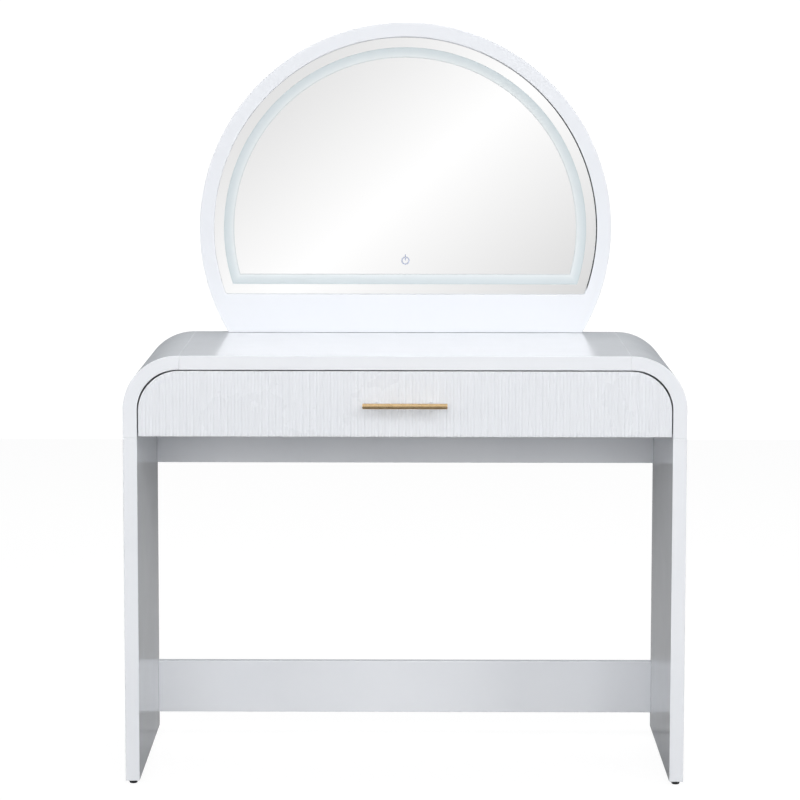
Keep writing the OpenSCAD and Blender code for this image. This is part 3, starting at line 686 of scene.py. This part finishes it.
def makeDrawerCams():
    # the cams' faces in the drawer's sides: a disc with a driving slot across it
    shapes = []
    for low, high in solidsIn("drawer_cam_locks"):
        out = np.sign(low[0])
        middle = (low + high) / 2
        rho = np.array([0.04, 0.2, 0.35, 0.5, 0.65, 0.8, 0.9, 1.0, 1.0]) * cams["radius"]
        u, v = circles(rho, cams["sides"])
        inSlot = (abs(v) < cams["slot"]) * (abs(u) < cams["radius"] * cams["slotRun"])
        way = out * (cams["proud"] - cams["slotDepth"] * inSlot)
        way[-1] = -cams["thick"] * out
        shapes.append(stacked(u, v, way, (drawerSideX * out, middle[1], middle[2]), "x"))
    makePiece("drawer_cam_faces", join(shapes), "drawer", ["drawer_cam_locks"],
              [castZinc])


handle = dict(ends=0.0012, endSteps=6, flat=0.004, dimple=0.3, barSides=64, postSides=40, pole=0.001,
              foot=1.12, flare=(0.003, 0.002), postEnds=0.0006, sunk=0.0005)


def makeHandle():
    # bar: a rod with eased ends; posts: rods that flare to a small foot on the drawer front
    low, high = box("handle_bar")
    radius = (high[2] - low[2]) / 2
    middle = (low + high) / 2
    length = high[0] - low[0]
    steps, flat, pole = handle["endSteps"], handle["flat"], handle["pole"]
    dimple = radius * handle["dimple"]
    profile = roundEnds([(0, dimple), (0, radius), (length, radius), (length, dimple)], handle["ends"],
                        steps)
    profile = np.concatenate([profile[:steps + 2], [(flat, radius), (length - flat, radius)],
                              profile[steps + 2:]])
    makePiece("gold_bar", lathe(profile, (low[0], middle[1], middle[2]), "x", handle["barSides"]),
              "drawer", ["handle_bar"], [gold])
    shapes = []
    for low, high in solidsIn("handle_posts"):
        r = (high[0] - low[0]) / 2
        start, end, foot = middle[1], high[1] + handle["sunk"], r * handle["foot"]
        profile = roundEnds([(start, pole), (start, r), (end - handle["flare"][0], r),
                             (end - handle["flare"][1], foot), (end, foot), (end, pole)],
                            handle["postEnds"])
        shapes.append(lathe(profile, ((low[0] + high[0]) / 2, 0, middle[2]), "y", handle["postSides"]))
    makePiece("handle_standoffs", join(shapes), "drawer", ["handle_posts"], [nickel])


makeDrawerFront()
makeDrawerBox()
makeDrawerCams()
makeHandle()
print("drawer made")


# slides: rolled channels, drawn as sections in x and z and carried along y
slides = dict(sheet=0.0012, bend=0.0020, lip=0.0022, corner=0.0004, edge=0.0002, flat=0.001)


def channel(low, high, webAt, lip):
    # a rolled section: web on the side webAt, two flanges with eased bends, and lips if wanted
    t, r, crisp = slides["sheet"], slides["bend"], slides["corner"]
    x0, z0, x1, z1 = low[0], low[2], high[0], high[2]
    if webAt == "low":
        x0, x1 = x1, x0
    way = math.copysign(1, x1 - x0)  # from the open side to the web
    insideLip, insideWeb = x0 + way * t, x1 - way * t
    # the free end of a flange as (x, height in from the outside), and the bend at each point
    if lip:
        end, bends, outer = [(x0, lip), (insideLip, lip), (insideLip, t)], [crisp, crisp, r - t], r
    else:
        end, bends, outer = [(x0, t)], [crisp], crisp
    corners = [(x0, z0), (x1, z0), (x1, z1), (x0, z1), *[(x, z1 - h) for x, h in end],
               (insideWeb, z1 - t), (insideWeb, z0 + t), *[(x, z0 + h) for x, h in end[::-1]]]
    radii = [outer, r, r, outer, *bends, r - t, r - t, *bends[::-1]]
    if way < 0:
        corners, radii = corners[::-1], radii[::-1]
    edge = slides["edge"]
    thin = lambda inset: outlineRing(corners, radii, min(inset, edge), edge / 2, 6)
    return carryOutline(thin, low[1], high[1], "y", edge, slides["flat"])


def makeSlides():
    # the first two rails have their webs at the cabinet's wall, the third at the drawer's side
    for hand, wall, other in (("left", "low", "high"), ("right", "high", "low")):
        for rail, body, webAt, lip in (("cabinet_rail", "table", wall, slides["lip"]),
                                       ("middle_rail", hand + "_middle", wall, 0),
                                       ("drawer_rail", "drawer", other, 0)):
            node = f"{hand}_{rail}"
            makePiece(node + "_section", channel(*box(node), webAt, lip), body, [node],
                      [railSteel])


# each set of screws: body, axis, the side the head is on, head radius and height, shank radius,
# and how far the head is sunk
screws = {
    "plate_screws": ("table", "y", "back", 0.0032, 0.0015, 0.0017, 0),
    "cover_screws": ("table", "y", "back", 0.0027, 0.0009, 0.0012, -0.0006),
    "cabinet_rail_screws": ("table", "x", "inside", 0.0032, 0.0008, 0.0017, 0),
    "drawer_rail_screws": ("drawer", "x", "outside", 0.0032, 0.0008, 0.0017, 0),
    "drawer_back_screws": ("drawer", "x", "outside", 0.0033, 0.0006, 0.0017, -0.0003),
    "handle_screws": ("drawer", "y", "back", 0.0042, 0.0024, 0.0020, 0),
}


def makeScrews():
    for node, (body, axis, head, radius, height, shank, sunk) in screws.items():
        way = "xyz".index(axis)
        shapes = []
        for low, high in solidsIn(node):
            middle = (low + high) / 2
            away = np.sign(middle[0])
            out = {"outside": away, "back": 1.0, "inside": -away}[head]
            tip = high[way] if out > 0 else low[way]
            length = (high - low)[way] - height
            centre = np.where(np.arange(3) == way, tip - out * (height + sunk), middle)
            shapes.append(crossHead(centre, axis, out, radius, height, shank, length))
        makePiece(node[:-1] + "_heads", join(shapes), body, [node], [screwZinc])


makeSlides()
makeScrews()
print("slides and screws made")


# the mirror: outlines in x and z around the circle's middle, depths from the frame's face
mirror = dict(edge=0.0008, lipEdge=0.0004, corner=0.0006, near=0.0002, rimFlat=0.004, lipFlat=0.003,
              settled=0.0005, ledge=0.014, coverT=0.003, coverLap=0.009, beadTop=0.0008, beadSunk=0.0003)
glass = dict(gap=0.0015, corner=0.005, sunk=0.001, tape=0.0005, bevel=0.00015, bandInset=0.0185,
             bandWidth=0.0195, bandSteps=5, inside=0.002, mitre=0.0004)
rimLow, rimHigh = box("mirror_frame")
glassLow, glassHigh = box("mirror_glass")
mirrorR = (rimHigh[0] - rimLow[0]) / 2
mirrorDrop = rimHigh[2] - rimLow[2] - mirrorR
mirrorZ, mirrorY, frameT = rimHigh[2] - mirrorR, rimLow[1], rimHigh[1] - rimLow[1]
glassR = (glassHigh[0] - glassLow[0]) / 2
glassDrop = glassHigh[2] - glassLow[2] - glassR
glassAside = (glassLow[0] + glassHigh[0]) / 2


def standUp(rings, aside=0.0):
    # (x, z, depth) from the middle of the circle to its place in the room
    return rings[..., (0, 2, 1)] + np.array([aside, mirrorY, mirrorZ])


def ringsFrom(rows):
    # rows of radius, drop, corner and depth
    flat = np.stack([cutCircle(r, drop, corner) for r, drop, corner, _ in rows])
    depth = np.array([row[3] for row in rows])[:, None, None]
    return np.concatenate([flat, np.broadcast_to(depth, flat.shape[:2] + (1,))], -1)


def makeMirrorFrame():
    # the section of the frame, walked from the back edge round the outside to the front, down its
    # lip, over the bead beside the glass, under the glass, through the window, and back along the
    # cover's rebate; each row is (radius, drop, corner, depth, worn)
    e, f, near, small = mirror["edge"], mirror["lipEdge"], mirror["near"], mirror["corner"]
    rimR, rimD = mirrorR, mirrorDrop + mirror["settled"]
    recessR, recessD = glassR + glass["gap"], glassDrop + glass["gap"]
    windowR, windowD = recessR - mirror["ledge"], recessD - mirror["ledge"]
    laidR, laidD = windowR + mirror["coverLap"], windowD + mirror["coverLap"]
    bead, beadTop = glass["sunk"] + mirror["beadSunk"], mirror["beadTop"]
    recessT = glass["sunk"] + (glassHigh[1] - glassLow[1]) + glass["tape"]
    coverAt = frameT - mirror["coverT"]
    soft, sharp = glass["corner"] + glass["gap"], glass["corner"]
    t = np.linspace(0, math.pi / 2, 6)
    eased = np.column_stack([1 - np.cos(t), 1 - np.sin(t)])

    def quarter(r, d, corner, size, depth, column, sign):
        # a quarter round: the outline moves by size (1 - cos t) where column is 0, or by
        # size (1 - sin t) where it is 1, and the depth by the other
        return [(r + size * a[column], d + size * a[column], corner,
                 depth + sign * abs(size) * a[1 - column], 1) for a in eased]

    def level(r, d, corner, *depths):
        return [(r, d, corner, depth, 0) for depth in depths]

    rim, lip = mirror["rimFlat"], mirror["lipFlat"]
    rows = level(rimR, rimD, small, frameT - rim, rim)
    rows += quarter(rimR, rimD, small, -e, 0, 0, 1)
    rows += level(rimR - rim, rimD - rim, small, 0)
    rows += level(recessR + lip, recessD + lip, soft, 0)
    rows += quarter(recessR, recessD, soft, f, 0, 1, 1)
    beadRow = len(rows)
    rows += level(recessR, recessD, soft, beadTop, bead)
    rows += level(glassR + near, glassDrop + near, sharp, bead, recessT)
    rows += level(windowR + near, windowD + near, small, recessT)
    rows += level(windowR, windowD, small, recessT + near, coverAt - near)
    rows += level(windowR + near, windowD + near, small, coverAt)
    rows += level(laidR - near, laidD - near, small, coverAt)
    rows += level(laidR, laidD, small, coverAt + near)
    rows += quarter(laidR, laidD, small, f, frameT, 0, -1)
    rows += level(laidR + lip, laidD + lip, small, frameT)
    rows += level(rimR - rim, rimD - rim, small, frameT)
    rows += quarter(rimR, rimD, small, -e, frameT, 1, -1)
    rings = ringsFrom([row[:4] for row in rows])
    rings[beadRow + 2:beadRow + 4, :, 0] += glassAside
    worn = np.array([row[4] for row in rows])[:, None]
    columns = rings.shape[1]
    kind = np.zeros(len(rows) * columns, int)
    kind[beadRow * columns:(beadRow + 2) * columns] = 1
    # the bead rows take the sealant with its painted gap shade
    makePiece("mirror_surround", loft(standUp(rings), worn, loop=True), "table",
              ["mirror_frame"], [lacquerFrameShaded, sealantWithShade], kind)


def makeGlass():
    # rings that draw in from the edge of the pane by d: radius - d, drop - d, and a corner that
    # sharpens from the pane's to a mitre at the band
    thick, bevel = glassHigh[1] - glassLow[1], glass["bevel"]
    start, end = glass["bandInset"], glass["bandInset"] + glass["bandWidth"]
    band = np.linspace(start, end, glass["bandSteps"] + 1)
    insets = np.r_[bevel, 0, 0, bevel, bevel + mirror["near"], band, end + glass["inside"]]
    depths = np.r_[thick, thick - bevel, bevel, np.zeros(len(insets) - 3)]
    rows = [(glassR - d, glassDrop - d, max(glass["corner"] - d, glass["mitre"]), glass["sunk"] + h)
            for d, h in zip(insets, depths)]
    rings = standUp(ringsFrom(rows), glassAside)
    shape = loft(rings)
    columns = rings.shape[1]
    first = len(insets) - len(band) - 1
    kind = np.zeros(len(shape[1]), int)
    kind[first * columns:(first + glass["bandSteps"]) * columns] = 1
    # the band rows take the etched band with its painted shade across it
    pane = makePiece("mirror_pane", shape, "table", ["mirror_glass"],
                     [silvered, frostedWithShade], kind)
    across = np.clip((insets - start) / (end - start), 0, 1)
    across = np.repeat(across, columns).astype(np.float32)
    pane.data.attributes.new("across", "FLOAT", "POINT").data.foreach_set("value", across)


symbol = dict(radius=0.0066, width=0.0026, thick=0.00005, gap=26, stem=(0.0015, 0.0105), drop=0.060,
              steps=60)


def makeSymbol():
    # a power sign: an open ring and a stem, each a thin rounded strip on the glass
    w, h, gap = symbol["width"] / 2, symbol["thick"], math.radians(symbol["gap"])
    end = np.linspace(0, math.pi / 2, 7)

    def strip(line, normal, width):
        # a line of points with the normal across it: the half width dies away round at both ends
        left, right = line + normal * width[:, None], line - normal * width[:, None]
        rings = [np.column_stack([side, np.full(len(side), depth)])
                 for side, depth in ((left, -h), (right, -h), (right, 0), (left, 0))]
        return loft(standUp(np.stack(rings, 1) + np.array([0, -symbol["drop"], glass["sunk"]])))

    a = np.linspace(math.pi / 2 + gap, 2.5 * math.pi - gap, symbol["steps"])
    cap = w / symbol["radius"]
    a = np.concatenate([a[0] - cap * np.cos(end), a[1:-1], a[-1] + cap * np.sin(end)])
    width = np.concatenate([w * np.sin(end), np.full(symbol["steps"] - 2, w), w * np.cos(end)])
    way = np.column_stack([np.cos(a), np.sin(a)])
    ring = strip(way * symbol["radius"], way, np.maximum(width, 1e-5))
    low, high = symbol["stem"]
    z = np.concatenate([low - w * np.cos(end), high + w * np.sin(end)])
    width = np.maximum(w * np.r_[np.sin(end), np.cos(end)], 1e-5)
    line = np.column_stack([np.zeros_like(z), z])
    stem = strip(line, np.tile([1.0, 0.0], (len(z), 1)), width)
    makePiece("touch_symbol", join([ring, stem]), "table", [], [symbolInk],
              flat=True)


fixings = dict(coverCorner=0.0006, coverEdge=0.0005, padEdge=0.0008, plateCorner=0.004, plateEdge=0.0004)


def makeBackCover():
    low, high = box("mirror_back_cover")
    r = (high[0] - low[0]) / 2
    drop = high[2] - low[2] - r
    outline = lambda inset: cutCircle(r - inset, drop - inset, fixings["coverCorner"])
    points, faces, wear = carryOutline(outline, 0.0, high[1] - low[1], "z", fixings["coverEdge"])
    place = points[:, (0, 2, 1)] + np.array([0, low[1], mirrorZ])
    makePiece("cover_sheet", (place, faces, wear), "table", ["mirror_back_cover"],
              [greyBoard])


def makeFixings():
    shapes = [plainBoard(low, high, "z", fixings["padEdge"]) for low, high in solidsIn("mirror_pads")]
    makePiece("foam_pads", join(shapes), "table", ["mirror_pads"], [foam])
    for hand in ("left", "right"):
        node = hand + "_mirror_plate"
        shape = plainBoard(*box(node), edge=fixings["plateEdge"], radii=[fixings["plateCorner"]] * 4)
        makePiece(node + "_strap", shape, "table", [node], [plateSteel])


makeMirrorFrame()
makeGlass()
makeSymbol()
makeBackCover()
makeFixings()
print("mirror made")


floorLook = dict(size=4.0, glow=0.93, shade=(0.12, 0.12, 0.12, 1), mirrored=0.5, bounced=0.39, dark=0.10,
                 darkFrom=(-0.2, -0.5), darkTo=(-1.3, -1.0))
studio = dict(white=1.08, ambient=(0.196, 0.200, 0.206, 1), behind=(0.25, 0.27, 0.287, 1), least=0.45,
              ridge=1.05, fall=3.41, lean=0.857, ridgeAt=0.0565, panels=(0.35, 0.7), sideGlow=2.0,
              topGlow=0.95, turn=(0.1, -0.1))
lights = [  # name, where it stands, where it points, width and height, watts
    ("frontHigh", (0.0, -7.0, 4.7), (0, 0, 0.7), (7.0, 6.0), 208),
    ("frontMiddle", (0.0, -7.5, 1.7), (0, 0, 0.7), (5.6, 2.2), 182),
    ("frontLeft", (-5.0, -5.0, 3.6), (0, 0, 0.7), (2.6, 2.6), 73),
    ("frontRight", (5.0, -5.0, 3.6), (0, 0, 0.7), (2.6, 2.6), 134),
    ("overhead", (0.0, 0.5, 3.2), (0, 0, 0.7), (2.4, 1.8), 43),
]
view = dict(side=0.00645, distance=4.8184, height=1.3497, lens=123.615, pitch=0.0997, yaw=-0.0032,
            roll=0.0013, shift=-0.12)


def makeFloor():
    # to the camera the floor glows almost white and keeps a little shade; to reflections and
    # bounced light it is a plain grey, darker in reflections just in front of the table
    size = floorLook["size"]
    mesh = bpy.data.meshes.new("floor")
    corners = [(-size, -size, 0), (size, -size, 0), (size, size, 0), (-size, size, 0)]
    mesh.from_pydata(corners, [], [(0, 1, 2, 3)])
    material = bpy.data.materials.new("paleFloor")
    material.use_nodes = True
    tree = material.node_tree
    tree.nodes.clear()
    glow = add(tree, "Emission", {"Color": (1, 1, 1, 1), "Strength": floorLook["glow"]}).outputs[0]
    shade = add(tree, "BsdfDiffuse", {"Color": floorLook["shade"]}).outputs[0]
    seen = add(tree, "AddShader", {0: glow, 1: shade}).outputs[0]
    path = add(tree, "LightPath").outputs
    deep = add(tree, "SeparateXYZ", {0: objectPoint(tree)}).outputs["Y"]
    dark = maths(tree, "MULTIPLY", spread(tree, deep, *floorLook["darkFrom"]),
                 spread(tree, deep, *floorLook["darkTo"]))
    dark = maths(tree, "MULTIPLY", dark, path["Is Glossy Ray"])
    tone = add(tree, "Mix", {"Factor": path["Is Glossy Ray"], "A": floorLook["bounced"],
                             "B": floorLook["mirrored"]}).outputs["Result"]
    tone = add(tree, "Mix", {"Factor": dark, "A": tone, "B": floorLook["dark"]}).outputs["Result"]
    grey = add(tree, "BsdfDiffuse", {"Color": tone}).outputs[0]
    both = add(tree, "MixShader", {"Fac": path["Is Camera Ray"], 1: grey, 2: seen}).outputs[0]
    add(tree, "OutputMaterial", {"Surface": both})
    mesh.materials.append(material)
    floor = bpy.data.objects.new("floor", mesh)
    bpy.context.scene.collection.objects.link(floor)


def makeWorld():
    # white to the camera and soft grey as ambient light; in reflections a grey room whose front
    # wall has soft panels at the sides and above, and is brightest along a slanting ridge:
    # level = ridge - fall |lean x/|y| - z/|y| - ridgeAt|
    world = bpy.data.worlds.new("studio")
    bpy.context.scene.world = world
    world.use_nodes = True
    tree = world.node_tree
    tree.nodes.clear()
    way = add(tree, "SeparateXYZ", {0: add(tree, "TexCoord").outputs["Generated"]}).outputs
    deep = maths(tree, "ABSOLUTE", way["Y"])
    slant = maths(tree, "MULTIPLY", way["Z"], -1.0)
    slant = maths(tree, "MULTIPLY_ADD", way["X"], studio["lean"], slant)
    slant = maths(tree, "SUBTRACT", maths(tree, "DIVIDE", slant, deep), studio["ridgeAt"])
    slant = maths(tree, "ABSOLUTE", slant)
    level = maths(tree, "MULTIPLY_ADD", slant, -studio["fall"], studio["ridge"])
    level = maths(tree, "MAXIMUM", level, studio["least"])
    aside = maths(tree, "ABSOLUTE", way["X"])
    for off, glow in ((aside, studio["sideGlow"]), (way["Z"], studio["topGlow"])):
        panel = spread(tree, maths(tree, "DIVIDE", off, deep), *studio["panels"], 0.0, glow)
        level = maths(tree, "MAXIMUM", level, panel)
    room = mixed(tree, spread(tree, way["Y"], *studio["turn"]), studio["behind"], level)
    room = add(tree, "Background", {"Color": room}).outputs[0]
    soft = add(tree, "Background", {"Color": studio["ambient"]}).outputs[0]
    white = add(tree, "Background", {"Color": (1, 1, 1, 1), "Strength": studio["white"]}).outputs[0]
    path = add(tree, "LightPath").outputs
    unseen = add(tree, "MixShader", {"Fac": path["Is Glossy Ray"], 1: soft, 2: room}).outputs[0]
    both = add(tree, "MixShader", {"Fac": path["Is Camera Ray"], 1: unseen, 2: white}).outputs[0]
    add(tree, "OutputWorld", {"Surface": both})


def makeLights():
    for name, place, aim, size, watts in lights:
        data = bpy.data.lights.new(name, "AREA")
        data.shape = "RECTANGLE"
        data.size, data.size_y = size
        data.energy = watts
        lamp = bpy.data.objects.new(name, data)
        lamp.location = place
        lamp.rotation_euler = (Vector(aim) - Vector(place)).to_track_quat("-Z", "Y").to_euler()
        lamp.visible_glossy = False
        bpy.context.scene.collection.objects.link(lamp)


def makeCamera():
    pitch, yaw, roll = view["pitch"], view["yaw"], view["roll"]
    level = math.cos(pitch)
    ahead = Vector((math.sin(yaw) * level, math.cos(yaw) * level, -math.sin(pitch)))
    right = ahead.cross(Vector((0, 0, 1))).normalized()
    up = right.cross(ahead)
    across = right * math.cos(roll) + up * math.sin(roll)
    upward = up * math.cos(roll) - right * math.sin(roll)
    data = bpy.data.cameras.new("camera")
    data.sensor_width = 36.0
    data.lens = view["lens"]
    data.shift_y = view["shift"]
    camera = bpy.data.objects.new("camera", data)
    turn = Matrix((across, upward, -ahead)).transposed().to_4x4()
    place = (view["side"], frontY - view["distance"], view["height"])
    camera.matrix_world = Matrix.Translation(place) @ turn
    bpy.context.scene.collection.objects.link(camera)
    bpy.context.scene.camera = camera


makeFloor()
makeWorld()
makeLights()
makeCamera()
bpy.context.scene.view_settings.view_transform = "Standard"
print("studio made")
